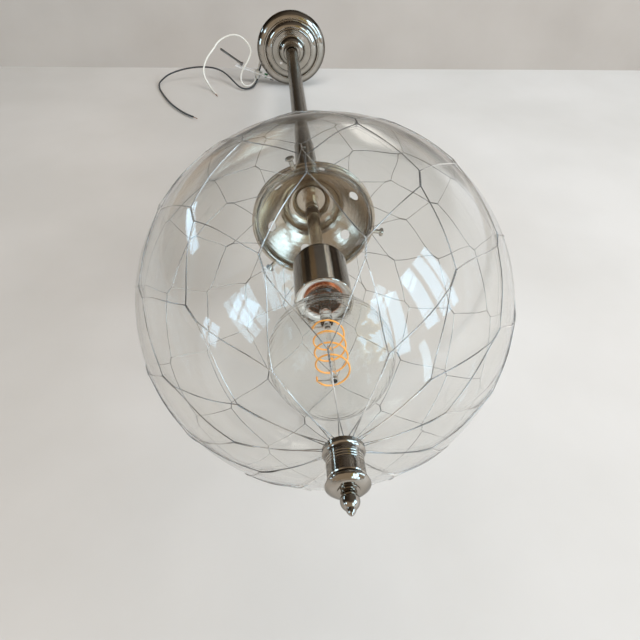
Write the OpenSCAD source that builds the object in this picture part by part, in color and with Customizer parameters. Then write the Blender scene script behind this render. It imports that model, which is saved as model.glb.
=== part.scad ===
// Pendant light: a clear glass globe in a net of twisted wire, hung from a ceiling canopy on a stem.
// The origin is the centre of the canopy's rim, which meets the ceiling. The light hangs down along -Z.

/* [Hanging] */
// Drop from the ceiling to the centre of the globe
drop = 800; // [700:10:1100]
// Outer diameter of the stem tube
stem_d = 21.3; // [21:0.1:22]
// Wall of the stem tube
stem_wall = 2.7; // [2:0.1:2.8]
// Outer diameter of the lower sleeve on the stem
sleeve_d = 24; // [23:0.5:26]
// Length of the sleeve above the fitter
sleeve_length = 164; // [80:2:200]

/* [Canopy] */
// Diameter of the canopy at the ceiling
canopy_d = 127; // [127:1:140]
// Depth of the canopy below the ceiling
canopy_depth = 32; // [31:1:36]
// Thickness of the spun sheet
sheet = 1.2; // [0.8:0.1:1.4]
// Circle on which the two canopy screws sit
canopy_screw_pcd = 57.2; // [56:0.2:60]

/* [Fitter and socket] */
// Inner diameter of the fitter at its rim, which takes the neck of the globe
fitter_bore_d = 104.8; // [104:0.1:106]
// Number of vent holes in the fitter
vent_count = 6; // [3:1:8]
// Diameter of a vent hole
vent_d = 9.5; // [7:0.5:11]
// Outer diameter of the socket cup
cup_d = 41.6; // [40:0.2:44]
// Length of the socket cup
cup_length = 50; // [44:1:54]

/* [Globe] */
// Outer radius of the glass globe
globe_r = 127; // [125:0.5:129]
// Thickness of the blown glass
glass_wall = 2.2; // [1.8:0.1:3]
// Outer radius of the globe's neck
neck_r = 50; // [48:0.5:50]

/* [Wire net] */
// Twisted pairs round the globe in each row
net_columns = 12; // [10:2:14]
// Diameter of the net's wire
wire_d = 0.6; // [0.5:0.1:0.8]
// Length of a twist in the rows near the finial
long_twist = 12; // [8:1:14]
// Length of a twist in the rows from the middle up
short_twist = 8; // [6:1:10]

/* [Bulb] */
// Diameter of the globe bulb
bulb_d = 80; // [80:1:90]
// Turns of the spiral filament
filament_turns = 4; // [3:1:6]
// Diameter of the filament's spiral
filament_coil_d = 20.5; // [16:0.5:22]
// Thickness of the filament
filament_d = 1.2; // [0.8:0.1:1.4]

/* [Supply leads] */
// Diameter of each insulated lead
lead_d = 3; // [2.4:0.1:3]
// Length of the crossbar that fixes the canopy
bar_length = 90; // [86:1:110]

/* [Hidden] */
$fn = 96;

nickel = [0.72, 0.70, 0.66];
brass = [0.70, 0.56, 0.32];
steel = [0.62, 0.62, 0.62];
clear = [0.86, 0.90, 0.92, 0.35];

globe_z = -drop;
ball_z = -canopy_depth - 2;
ball_r = 12.5;
ball_bore_r = 3.6;
swivel_gap = 0.3;
seat_outer_r = 13.9;
seat_half_height = 4.5;
collar_r = 15.5;
stem_top_z = ball_z - 18;
stem_foot_z = globe_z + 200;
sleeve_foot_z = globe_z + 168;
lead_r = lead_d / 2;
inner_lead_x = 1.75;

// Heights below are above the centre of the globe
rim_z = 118.4;
rim_top_z = 128;
fitter_top_z = 166.8;
screw_z = 121.6;
lip_z = 126.2;
neck_foot_z = sqrt(globe_r * globe_r - neck_r * neck_r);
fitter_bore_r = fitter_bore_d / 2;
cup_r = cup_d / 2;
cup_bore_r = cup_r - 1;
shell_r = 14.3;
base_r = 13.15;

// Plane geometry

function unit(v) = v / norm(v);
function left_of(v) = [-v[1], v[0]];

// Points on an arc from p to q whose middle stands h to the left of the straight line
function bow(p, q, h, steps = 8) =
    let (along = unit(q - p), side = left_of(along), chord = norm(q - p))
    let (r = (chord * chord / 4 + h * h) / (2 * h), half = asin(chord / (2 * r)))
    let (centre = (p + q) / 2 + side * (h - r))
    [for (i = [0:steps])
        let (a = half * (2 * i / steps - 1))
        centre + r * (side * cos(a) + along * sin(a))];

// The path moved sideways by w to its left
function beside(path, w) =
    let (last = len(path) - 1)
    [for (i = [0:last])
        let (before = unit(path[max(i, 1)] - path[max(i, 1) - 1]))
        let (after = unit(path[min(i, last - 1) + 1] - path[min(i, last - 1)]))
        let (n = unit(left_of(before) + left_of(after)))
        path[i] + n * w / (n * left_of(before))];

function backwards(path) = [for (i = [len(path) - 1:-1:0]) path[i]];

// A spun sheet of thickness w. The path of [radius, height] is its outer face without its beads,
// and face is the same path with them.
module spun(path, face, w) {
    rotate_extrude() polygon(concat(face, backwards(beside(path, w))));
}

module bead(r, z, thick) {
    translate([0, 0, z]) rotate_extrude() translate([r, 0]) circle(r = thick, $fn = 24);
}

module ring(r_out, r_in, z0, z1) {
    translate([0, 0, z0]) difference() {
        cylinder(r = r_out, h = z1 - z0);
        translate([0, 0, -1]) cylinder(r = r_in, h = z1 - z0 + 2);
    }
}

// Tubes along a path

function tangent(path, i) =
    unit(path[min(i + 1, len(path) - 1)] - path[max(i - 1, 0)]);

// Side directions that turn as little as they can along the path
function sides_along(path, first) =
    [for (i = 0, s = first; i < len(path);
        i = i + 1,
        s = i < len(path) ? unit(s - tangent(path, i) * (s * tangent(path, i))) : s) s];

module tube(path, r, sides, first) {
    across = sides_along(path, unit(first - tangent(path, 0) * (first * tangent(path, 0))));
    rings = len(path);
    points = [for (i = [0:rings - 1], k = [0:sides - 1])
        let (up = cross(tangent(path, i), across[i]), a = 360 * (k + 0.5) / sides)
        path[i] + r * (cos(a) * across[i] + sin(a) * up)];
    walls = [for (i = [0:rings - 2], k = [0:sides - 1])
        let (a = i * sides + k, b = i * sides + (k + 1) % sides)
        each [[a, a + sides, b + sides], [a, b + sides, b]]];
    foot = [for (k = [1:sides - 2]) [0, k, k + 1]];
    top = [for (k = [1:sides - 2]) (rings - 1) * sides * [1, 1, 1] + [0, k + 1, k]];
    polyhedron(points, concat(walls, foot, top), convexity = 8);
}

// A smooth curve through the route's points, with a few steps between each two
function curve_point(a, b, c, d, t) =
    0.5 * (2 * b + (c - a) * t + (2 * a - 5 * b + 4 * c - d) * t * t
        + (3 * b - a - 3 * c + d) * t * t * t);

function smooth(route, steps) =
    let (last = len(route) - 1)
    concat([for (i = [0:last - 1], j = [0:steps - 1])
        curve_point(route[max(i - 1, 0)], route[i], route[i + 1], route[min(i + 2, last)],
            j / steps)], [route[last]]);

function length_of(path, i = 1) =
    i >= len(path) ? 0 : norm(path[i] - path[i - 1]) + length_of(path, i + 1);

// Canopy and swivel

pan_r = canopy_screw_pcd / 2;

module canopy() {
    // From the ceiling down to the hub: a deep wall, then two pans, each edged by a bead
    wall = concat([[canopy_d / 2, 0]], bow([canopy_d / 2, -3], [51.2, -14], 3));
    upper_pan = bow([47.4, -14.6], [38.2, -21], 2);
    lower_pan = [[35, -21.8], [34.6, -22.5], [26.2, -22.5]];
    hub_wall = bow([23.4, -23.4], [18.4, -canopy_depth], 1.4);
    hub = [[collar_r + 0.25, -canopy_depth]];
    color(nickel) difference() {
        spun(concat(wall, upper_pan, lower_pan, hub_wall, hub),
            concat(wall, bow([51, -14.3], [47.6, -14.5], 1.5, 6), upper_pan,
                bow([37.8, -21.3], [35.2, -21.8], 1.1, 6), lower_pan,
                bow([25.8, -22.6], [23.6, -23], 0.9, 6), hub_wall, hub),
            -sheet);
        for (side = [-1, 1])
            rotate([0, 0, -45]) translate([side * pan_r, 0, -30]) cylinder(r = 2.4, h = 16);
    }
}

module swivel_collar() {
    // Drops into the canopy from above and hangs by its flange; the ball sits in its round seat
    flange_z = sheet - canopy_depth;
    mouth_z = ball_z - 9;
    color(nickel) difference() {
        union() {
            translate([0, 0, mouth_z + 2]) cylinder(r = collar_r, h = flange_z - mouth_z);
            translate([0, 0, mouth_z]) cylinder(r1 = collar_r - 1.6, r2 = collar_r, h = 2);
            translate([0, 0, flange_z]) cylinder(r = collar_r + 1.6, h = 2);
        }
        translate([0, 0, ball_z]) sphere(r = seat_outer_r + swivel_gap);
        translate([0, 0, ball_z]) cylinder(r = seat_outer_r + swivel_gap, h = 20);
    }
}

module swivel_seat() {
    // A plastic ring between the ball and its seat
    color("ivory") translate([0, 0, ball_z]) difference() {
        intersection() {
            sphere(r = seat_outer_r);
            translate([0, 0, -seat_half_height]) cylinder(r = 20, h = 2 * seat_half_height);
        }
        sphere(r = ball_r + swivel_gap);
    }
}

module swivel_ball() {
    color(nickel) difference() {
        union() {
            translate([0, 0, ball_z]) sphere(r = ball_r);
            translate([0, 0, stem_top_z]) cylinder(r = 5.2, h = ball_z - stem_top_z);
            // The plug that screws into the top of the stem
            translate([0, 0, stem_top_z - 12]) cylinder(r = stem_d / 2 - stem_wall, h = 12);
        }
        translate([0, 0, stem_top_z - 20]) cylinder(r = ball_bore_r, h = 60);
    }
}

// Stem

module stem_tube() {
    color(nickel) ring(stem_d / 2, stem_d / 2 - stem_wall, stem_foot_z, stem_top_z);
}

module stem_sleeve() {
    // Slides over the foot of the stem and is bored through for the leads
    color(nickel) translate([0, 0, sleeve_foot_z]) difference() {
        union() {
            cylinder(r = sleeve_d / 2, h = sleeve_length - 1);
            translate([0, 0, sleeve_length - 1]) cylinder(r1 = sleeve_d / 2, r2 = sleeve_d / 2 - 1, h = 1);
        }
        translate([0, 0, -1]) cylinder(r = 5, h = 20);
        translate([0, 0, stem_foot_z - sleeve_foot_z]) cylinder(r = stem_d / 2, h = 200);
        translate([0, 0, 12]) cylinder(r = stem_d / 2 - stem_wall, h = 30);
        set_screw_place() cylinder(r = 2, h = 6);
    }
}

module set_screw_place() {
    translate([0, 0, 121]) rotate([90, 0, -6]) translate([0, 0, stem_d / 2 + 0.1]) children();
}

module sleeve_set_screw() {
    color(steel) translate([0, 0, sleeve_foot_z]) set_screw_place() difference() {
        union() {
            cylinder(r = 1.95, h = 1.8);
            translate([0, 0, 1.8]) cylinder(r1 = 1.95, r2 = 1.6, h = 0.5);
        }
        translate([0, 0, 1]) cylinder(r = 0.9, h = 3, $fn = 6);
    }
}

module inner_leads() {
    color([0.2, 0.2, 0.2]) for (side = [-1, 1])
        translate([side * inner_lead_x, 0, globe_z + cup_length + 2])
            cylinder(r = lead_r, h = drop - cup_length - 2 + ball_z + ball_r - 0.6, $fn = 24);
}

// Fitter: the spun bell that carries the globe by three thumbscrews

thumbscrew_angles = [-108, 12, 132];
vent_r = 39;
vent_z = 140;

module fitter() {
    outer = fitter_bore_r + sheet;
    skirt = [[outer, rim_z], [outer, rim_top_z]];
    dome = bow([outer - 0.1, rim_top_z + 0.2], [30.4, 149.4], -1.6);
    step = bow([28, 151.6], [18.4, 161.4], -2);
    crown = concat(bow([16.6, 163], [11.5, fitter_top_z + sheet], -1),
        [[5.3, fitter_top_z + sheet]]);
    color(nickel) translate([0, 0, globe_z]) difference() {
        union() {
            spun(concat(skirt, dome, step, crown),
                concat(bow([outer, rim_z], [outer, rim_z + 2.8], -1.3, 6),
                    bow([outer, rim_top_z - 2.4], [outer, rim_top_z], -1.1, 6), dome,
                    bow([30.1, 149.8], [28.2, 151.4], -0.9, 6), step,
                    bow([18.2, 161.7], [16.8, 162.8], -0.7, 6), crown),
                sheet);
            for (a = thumbscrew_angles)
                rotate([0, 0, a]) translate([outer - 0.5, 0, screw_z]) rotate([0, 90, 0])
                    cylinder(r = 3.1, h = 2.3, $fn = 48);
        }
        for (a = thumbscrew_angles)
            rotate([0, 0, a]) translate([40, 0, screw_z]) rotate([0, 90, 0])
                cylinder(r = 2.05, h = 30, $fn = 48);
        for (i = [0:vent_count - 1])
            rotate([0, 0, 40 + 360 * i / vent_count]) translate([vent_r, 0, vent_z])
                rotate([0, 45, 0]) translate([0, 0, -6]) cylinder(r = vent_d / 2, h = 14, $fn = 48);
    }
}

module fitter_washer() {
    // Bevelled to fit under the crown
    color(nickel) translate([0, 0, globe_z + fitter_top_z - 1.4]) difference() {
        cylinder(r1 = 13.5, r2 = 11.1, h = 1.4);
        translate([0, 0, -1]) cylinder(r = 5.1, h = 4);
    }
}

module fitter_nut() {
    // A stack of a nut and a locking collar that clamps the fitter up to the sleeve
    color(nickel) translate([0, 0, globe_z]) difference() {
        union() {
            translate([0, 0, fitter_top_z - 5.4]) cylinder(r = 7.6, h = 4, $fn = 6);
            translate([0, 0, fitter_top_z - 7]) cylinder(r = 6.2, h = 2);
            translate([0, 0, 137.5]) cylinder(r = 5.9, h = fitter_top_z - 144);
            bead(5.9, 151, 0.6);
            bead(5.9, 143, 0.6);
        }
        translate([0, 0, 130]) cylinder(r = 5, h = 60);
    }
}

module socket_tube() {
    // Threaded tube from the sleeve down to the socket cup, with a polished cover over its lower half
    color(nickel) translate([0, 0, globe_z]) {
        ring(4.95, 3.9, cup_length - 3, sleeve_foot_z - globe_z + 12);
        ring(5.8, 4.95, cup_length, 128);
    }
}

module socket_ring() {
    color([0.22, 0.2, 0.18]) translate([0, 0, globe_z]) ring(6.3, 5, 128.1, 137.4);
}

// Socket

module socket_cup() {
    // Open below, with a rolled lip, and closed above round the tube
    crown = concat(bow([cup_r, cup_length - 4], [cup_r - 4, cup_length], -1.2),
        [[5, cup_length]]);
    color(nickel) translate([0, 0, globe_z])
        spun(concat([[cup_r, 0]], crown),
            concat(bow([cup_r, 0], [cup_r, 1.6], -0.5, 6), crown), 1);
}

module socket_insulator() {
    // White ceramic body inside the cup, open below for the bulb
    color("white") translate([0, 0, globe_z]) difference() {
        union() {
            translate([0, 0, 3]) cylinder(r = cup_bore_r - 0.1, h = 5);
            translate([0, 0, 8]) cylinder(r = 17.5, h = cup_length - 13);
        }
        translate([0, 0, 2]) cylinder(r = shell_r + 0.05, h = 33);
        translate([0, 0, 2]) cylinder(r1 = 17.8, r2 = shell_r + 0.05, h = 3.5);
        for (side = [-1, 1])
            translate([side * inner_lead_x, 0, 30]) cylinder(r = lead_r + 0.1, h = 30, $fn = 24);
    }
}

module screw_shell() {
    color([0.72, 0.38, 0.22]) translate([0, 0, globe_z]) ring(shell_r, base_r + 0.1, 5.6, 33);
}

module socket_contact() {
    color(brass) translate([0, 0, globe_z + 33.4]) cylinder(r = 4, h = 1.4, $fn = 48);
}

module thumbscrew(a) {
    // A plain shank with a thin flat head
    tip_r = 51.5;
    head_r = 62.4;
    color(nickel) translate([0, 0, globe_z + screw_z]) rotate([0, 0, a]) rotate([0, 90, 0]) {
        translate([0, 0, tip_r]) cylinder(r = 1.95, h = head_r - tip_r, $fn = 48);
        translate([0, 0, head_r - 1.4]) cylinder(r1 = 1.95, r2 = 3.5, h = 1.4, $fn = 48);
        translate([0, 0, head_r]) cylinder(r = 3.9, h = 1.4, $fn = 48);
        translate([0, 0, head_r + 1.4]) cylinder(r1 = 3.9, r2 = 3.3, h = 0.5, $fn = 48);
    }
}

module thumbscrew_1() { thumbscrew(thumbscrew_angles[0]); }
module thumbscrew_2() { thumbscrew(thumbscrew_angles[1]); }
module thumbscrew_3() { thumbscrew(thumbscrew_angles[2]); }

// Globe

module globe_glass() {
    inner = globe_r - glass_wall;
    color(clear) translate([0, 0, globe_z]) difference() {
        union() {
            sphere(r = globe_r, $fn = 160);
            translate([0, 0, neck_foot_z - 8]) cylinder(r = neck_r, h = lip_z - neck_foot_z + 8);
            bead(neck_r - 0.3, lip_z, 1.5);
        }
        sphere(r = inner, $fn = 160);
        translate([0, 0, 100]) cylinder(r = neck_r - glass_wall, h = 40);
    }
}

// The wire ring lies in the corner between the globe and its neck
neck_ring_r = neck_r + wire_d / 2 + 0.1;
neck_ring_z = sqrt(pow(globe_r + wire_d / 2 + 0.1, 2) - neck_ring_r * neck_ring_r);

module neck_ring() {
    color(steel) translate([0, 0, globe_z]) bead(neck_ring_r, neck_ring_z, wire_d / 2);
}

// Wire net: each wire climbs the globe on a slant, and is twisted half a turn with every wire it meets

net_row_angles = [24.5, 48.1, 70.6, 90.6, 109, 127, 143];
net_top_angle = 156.4;
net_turn = -96.8;
net_r = globe_r + wire_d / 2 + 0.45;
twist_offset = 0.5;
twist_r = globe_r + wire_d / 2 + twist_offset + 0.05;
leg_r = 9.97;

// A point on the globe: angle up from the finial, angle round the axis, distance from the centre
function on_globe(up, round, r) = r * [sin(up) * cos(round), sin(up) * sin(round), -cos(up)];

// The point moved sideways along the globe by s
function aside(up, round, r, s) = on_globe(up, round, r) + s * [-sin(round), cos(round), 0];

// Three points through a twist: in on one side, over or under, and out on the other side
function twist(up, round, way, length) =
    let (half = length / 2 / twist_r * 180 / PI)
    [aside(up - half, round, twist_r, -way * twist_offset),
        on_globe(up, round, twist_r + way * twist_offset),
        aside(up + half, round, twist_r, way * twist_offset)];

function twist_length(row) = row < 3 ? long_twist : short_twist;

// Points between the rows, a third and two thirds of the way
function between(a, b, share) =
    let (p = a + (b - a) * share) unit(p) * net_r;

function net_wire(column, way) =
    let (step = 360 / net_columns, start = net_turn + column * step)
    let (rows = len(net_row_angles))
    let (twists = [for (row = [0:rows - 1])
        twist(net_row_angles[row], start + way * row * step / 2, way, twist_length(row))])
    let (foot = start - way * 6.4, end = start + way * ((rows - 1) * step / 2 + 12.6))
    concat(
        [[leg_r * cos(foot), leg_r * sin(foot), cap_step_z + 0.3],
            [leg_r * cos(foot), leg_r * sin(foot), -129.4],
            aside(4.5, start, net_r, -way * 1.1),
            aside(14, start, net_r, -way * 1.1)],
        [for (row = [0:rows - 1])
            each concat(twists[row],
                row < rows - 1
                    ? [for (share = [1 / 3, 2 / 3]) between(twists[row][2], twists[row + 1][0], share)]
                    : [])],
        [on_globe(149.5, (end + start + way * (rows - 1) * step / 2) / 2, net_r),
            on_globe(net_top_angle, end, net_r)]);

module net() {
    color(steel) translate([0, 0, globe_z])
        for (column = [0:net_columns - 1], way = [-1, 1])
            tube(net_wire(column, way), wire_d / 2, 4, unit(net_wire(column, way)[0]));
}

// Finial

cap_r = 11.45;
drum_r = 10.05;
cap_top_z = -128.25;
cap_step_z = -132.2;
cap_foot_z = -147;
bell_foot_z = -155.2;
ball_knob_z = -159;
stud_r = 2;
stud_bore_r = stud_r + 0.2;

module finial_cap() {
    // A rounded collar over a drum with three fine grooves
    grooves = [for (i = [0:2]) let (z = -135.4 - 1.6 * i)
        each [[drum_r, z], [drum_r - 0.45, z - 0.35], [drum_r, z - 0.7]]];
    face = concat([[10.3, cap_top_z], [cap_r - 0.35, cap_top_z], [cap_r, cap_top_z - 0.6]],
        bow([cap_r, -131.3], [drum_r, -133.6], -0.35, 6), grooves,
        [[drum_r, cap_foot_z + 0.5], [drum_r - 0.4, cap_foot_z], [stud_bore_r, cap_foot_z],
            [stud_bore_r, cap_foot_z + 1.6], [7, cap_foot_z + 1.6], [7, cap_step_z],
            [10.3, cap_step_z]]);
    color(nickel) translate([0, 0, globe_z]) rotate_extrude() polygon(face);
}

module finial_hub() {
    // The plug and stud inside the cap, which pinch the ends of the wires against it
    color(steel) translate([0, 0, globe_z]) {
        translate([0, 0, cap_step_z]) cylinder(r = leg_r - wire_d / 2 - 0.02, h = 3.8);
        translate([0, 0, -162]) cylinder(r = stud_r, h = 162 + cap_step_z + 1);
    }
}

module finial_bell() {
    // Flares from under the drum, turns in round its edge and swells down to a small neck
    face = concat([[stud_bore_r, cap_foot_z]],
        bow([9.5, cap_foot_z], [11.3, -149.3], -0.3, 5),
        bow([11.5, -149.8], [11, -151.2], 0.35, 4),
        bow([10.8, -151.4], [5.8, -153.6], 0.6, 6),
        [[5.8, -154.1], [4.2, -154.3], [4.2, bell_foot_z], [stud_bore_r, bell_foot_z]]);
    color(nickel) translate([0, 0, globe_z]) rotate_extrude() polygon(face);
}

module finial_knob() {
    // A ball with a pointed tip, bored for the stud
    color(nickel) translate([0, 0, globe_z]) difference() {
        union() {
            translate([0, 0, ball_knob_z]) sphere(r = 4.95);
            rotate_extrude() polygon(concat([[0, ball_knob_z], [2.5, ball_knob_z]],
                bow([2.5, -163.9], [0, -167], 0.4, 6)));
        }
        translate([0, 0, -162.4]) cylinder(r = stud_r + 0.05, h = 20);
        translate([0, 0, bell_foot_z - 0.1]) cylinder(r = 10, h = 10);
    }
}

// Bulb

bulb_r = bulb_d / 2;
bulb_z = -16 - bulb_r;
bulb_neck_r = 14.5;

module bulb_glass() {
    // A sphere that runs through a round shoulder into the neck
    shoulder_r = 12;
    spread = bulb_neck_r + shoulder_r;
    shoulder_z = bulb_z + sqrt(pow(bulb_r + shoulder_r, 2) - spread * spread);
    meet = asin(spread / (bulb_r + shoulder_r));
    face = concat(
        [for (i = [1:24]) let (a = 180 - (180 - meet) * i / 24) [bulb_r * sin(a), bulb_z + bulb_r * cos(a)]],
        [for (i = [1:6]) let (a = meet + (90 - meet) * i / 6)
            [spread - shoulder_r * sin(a), shoulder_z - shoulder_r * cos(a)]],
        [[bulb_neck_r, -2], [12.55, 2.9], [12.5, 7.5]]);
    inner = beside(face, 0.6);
    color(clear) translate([0, 0, globe_z]) rotate_extrude()
        polygon(concat([[0, bulb_z - bulb_r]], face, backwards(inner), [[0, bulb_z - bulb_r + 0.6]]));
}

module bulb_base() {
    // A screw cap with a closed floor, which the black glass and the centre contact stand on
    color([0.72, 0.38, 0.22]) translate([0, 0, globe_z]) difference() {
        union() {
            translate([0, 0, 3.2]) cylinder(r = base_r, h = 22);
            translate([0, 0, 25.2]) cylinder(r1 = base_r, r2 = 9, h = 3);
        }
        translate([0, 0, 2]) cylinder(r = 12.65, h = 21);
        translate([0, 0, 24]) cylinder(r = 8, h = 10);
    }
}

module bulb_insulator() {
    color([0.1, 0.1, 0.1]) translate([0, 0, globe_z]) {
        translate([0, 0, 24]) cylinder(r = 7.95, h = 4.2);
        translate([0, 0, 28.2]) cylinder(r1 = 7.95, r2 = 5.2, h = 2.6);
    }
}

module bulb_contact() {
    color(brass) translate([0, 0, globe_z + 30.8]) cylinder(r1 = 4.6, r2 = 3.4, h = 1.4, $fn = 48);
}

filament_top_z = -30;
filament_foot_z = -74;
support_r = filament_coil_d / 2;

module bulb_stem() {
    // A flared glass mount in the neck that runs down the middle as a rod
    color(clear) translate([0, 0, globe_z]) {
        translate([0, 0, 2]) cylinder(r1 = 4.2, r2 = 11.8, h = 5);
        translate([0, 0, -23]) cylinder(r = 4.2, h = 25);
        translate([0, 0, filament_foot_z - 4]) cylinder(r = 1.8, h = 66, $fn = 48);
    }
}

module filament_supports() {
    // Metal clips that carry the spiral's two ends from the glass rod
    color(steel) translate([0, 0, globe_z]) {
        // Each arm reaches from its clip ring to the side of the filament's straight end
        for (z = [filament_top_z + 3, filament_foot_z - 3]) {
            ring(2.6, 1.85, z - 1, z + 1);
            translate([-1.9, 0, z]) rotate([0, -90, 0])
                cylinder(r = 0.45, h = support_r - filament_d / 2 - 1.9, $fn = 24);
        }
    }
}

// Points along the spiral, with twelve to a turn and straight ends on the clips
filament_path =
    let (pitch = (filament_top_z - filament_foot_z) / filament_turns)
    let (count = 12 * filament_turns)
    concat([[-support_r, 0, filament_top_z + 3.2]],
        [for (i = [0:count])
            support_r * [-cos(30 * i), -sin(30 * i), 0]
                + [0, 0, filament_top_z - pitch * i / 12]],
        [[-support_r, 0, filament_foot_z - 3.2]]);

// Least gap between one turn and the next, surface to surface
filament_gap = min([for (i = [1:len(filament_path) - 8], j = [i + 8:len(filament_path) - 2])
    norm(filament_path[i] - filament_path[j])]) - filament_d;
echo(filament_gap = filament_gap);

module filament() {
    color([0.95, 0.6, 0.15]) translate([0, 0, globe_z])
        tube(filament_path, filament_d / 2, 6, [1, 0, 0]);
}

// Crossbar and supply leads, which lie beside the canopy until the light is hung

bar_place = [-66, 46, 20];
bar_turn = [-91, 12, 17];
bar_width = 14;
bar_thick = 2.4;
bar_hole_pitch = canopy_screw_pcd;

module at_bar() {
    translate(bar_place) rotate(bar_turn) children();
}

module crossbar() {
    color("gainsboro") at_bar() difference() {
        translate([-bar_length / 2, -bar_width / 2, -bar_thick / 2])
            cube([bar_length, bar_width, bar_thick]);
        for (side = [-1, 1])
            translate([side * bar_hole_pitch / 2, 0, -5]) cylinder(r = 2.3, h = 10, $fn = 48);
        translate([0, 0, -5]) cylinder(r = 5.05, h = 10, $fn = 48);
        translate([16, 0, -5]) cylinder(r = 1.7, h = 10, $fn = 48);
        for (side = [-1, 1])
            translate([side * 37, 0, -5]) slot();
    }
}

module slot() {
    // A slot across the bar for the screws of a ceiling box
    hull() for (y = [-3, 3]) translate([0, y, 0]) cylinder(r = 2.2, h = 10, $fn = 24);
}

module crossbar_nipple() {
    color(brass) at_bar() difference() {
        translate([0, 0, -5]) cylinder(r = 4.95, h = 15, $fn = 48);
        translate([0, 0, -6]) cylinder(r = 3.9, h = 20, $fn = 48);
    }
}

module crossbar_nuts() {
    color(steel) at_bar() for (z = [-bar_thick / 2 - 3, bar_thick / 2])
        translate([0, 0, z]) difference() {
            cylinder(r = 7.4, h = 3, $fn = 6);
            translate([0, 0, -1]) cylinder(r = 5, h = 5, $fn = 48);
        }
}

screw_length = 50;
loose_screw_foot = [-35.7, -3.1, -5.2];
loose_screw_way = [-0.951, -0.248, -0.194];

module mounting_screw() {
    cylinder(r = 2.1, h = screw_length, $fn = 32);
    translate([0, 0, -2.2]) cylinder(r = 3.6, h = 2.2, $fn = 32);
}

module mounting_screws() {
    // One screw stands in the bar's far hole, the other leans against the back of its near end
    color([0.35, 0.34, 0.33]) at_bar() {
        translate([bar_hole_pitch / 2, 0, bar_thick / 2 + 1]) rotate([180, 0, 0]) mounting_screw();
        translate(loose_screw_foot)
            rotate([0, acos(loose_screw_way[2]), atan2(loose_screw_way[1], loose_screw_way[0])])
                mounting_screw();
    }
}

module ground_screw() {
    color("seagreen") at_bar() translate([16, 0, -bar_thick / 2 - 2.4]) {
        cylinder(r = 3.4, h = 2.4, $fn = 6);
        translate([0, 0, 2.4]) cylinder(r = 1.6, h = 5, $fn = 32);
    }
}

// Routes of the leads, from the top of the swivel ball through the nipple and out over the table
lead_start_z = -20.9;
black_route = [[1.75, 0, lead_start_z], [1.75, 0, -15], [0, 3.5, -6], [-7, 9, 3], [-16, 12.5, 12],
    [-26, 16, 20], [-38, 19, 25], [-49, 22.5, 26], [-56.5, 28, 23], [-61, 36, 20],
    [-64.4, 46.5, 19.6], [-67.3, 55.8, 18.8], [-69.8, 60.1, 12.5], [-71.8, 61.6, 4],
    [-73.8, 62.3, -6], [-77, 62.5, -17], [-84, 63, -25],
    [-94, 62.5, -26], [-103, 60, -18], [-113, 55, -3], [-124, 49, 15], [-137, 44, 31],
    [-152, 41, 42], [-169, 40, 48], [-186, 40, 49], [-201, 41, 47], [-216, 43, 44], [-230, 46, 40],
    [-243, 50, 34], [-252, 55, 25], [-257, 59, 12], [-255, 62, -4], [-249, 64, -24],
    [-238, 66, -52], [-224, 68, -84], [-208, 70, -112], [-191, 72, -135], [-176, 73, -151]];
white_route = [[-1.75, 0, lead_start_z], [-1.75, 0, -15], [-4, 1.5, -6], [-10, 5, 5], [-18, 7.5, 16],
    [-28, 11, 25.5], [-40, 14.5, 31], [-52, 19, 31], [-60.5, 25.5, 26], [-64.3, 35.2, 20.9],
    [-67.6, 45.5, 20.4], [-70.5, 55, 19.6], [-74.2, 59.8, 11], [-77.5, 61.3, 1],
    [-81, 61.6, -7.5], [-86, 61.2, -13], [-93, 59, -15.5],
    [-98, 51, -12], [-97, 41, -8], [-91, 30, -5], [-82, 18, -1], [-76, 4, 4],
    [-81, -8, 9], [-91, -17, 15], [-103, -21, 19], [-115, -20, 20], [-127, -16, 18],
    [-137, -10, 14], [-146, 0, 7], [-156, 10, 0], [-163, 21, -5], [-167, 33, -8], [-165, 46, -11],
    [-159, 57, -15], [-152, 63.5, -28], [-146, 65.9, -42]];
lead_sides = 8;

module lead(route) {
    tube(smooth(route, 2), lead_r, lead_sides, [0, 1, 0]);
}

module black_lead() {
    color([0.16, 0.16, 0.17]) lead(black_route);
}

module white_lead() {
    color("white") lead(white_route);
}

module stripped_ends() {
    // The bare copper at the far end of each lead
    color([0.72, 0.45, 0.28]) for (route = [black_route, white_route]) {
        last = len(route) - 1;
        run = unit(route[last] - route[last - 1]);
        translate(route[last]) rotate([0, acos(run[2]), atan2(run[1], run[0])])
            cylinder(r = 0.7, h = 11, $fn = 24);
    }
}

echo(black_length = length_of(smooth(black_route, 2)), white_length = length_of(smooth(white_route, 2)));

canopy();
swivel_collar();
swivel_seat();
swivel_ball();
stem_tube();
stem_sleeve();
sleeve_set_screw();
inner_leads();
fitter();
fitter_washer();
fitter_nut();
socket_tube();
socket_ring();
socket_cup();
socket_insulator();
screw_shell();
socket_contact();
thumbscrew_1();
thumbscrew_2();
thumbscrew_3();
globe_glass();
net();
neck_ring();
finial_cap();
finial_hub();
finial_bell();
finial_knob();
bulb_glass();
bulb_base();
bulb_insulator();
bulb_contact();
bulb_stem();
filament_supports();
filament();
crossbar();
crossbar_nipple();
crossbar_nuts();
mounting_screws();
ground_screw();
black_lead();
white_lead();
stripped_ends();
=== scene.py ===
# Looks of the pendant light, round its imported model. Metres, in the model's own frame.
import math
import random

import bpy
from mathutils import Matrix, Vector


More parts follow.
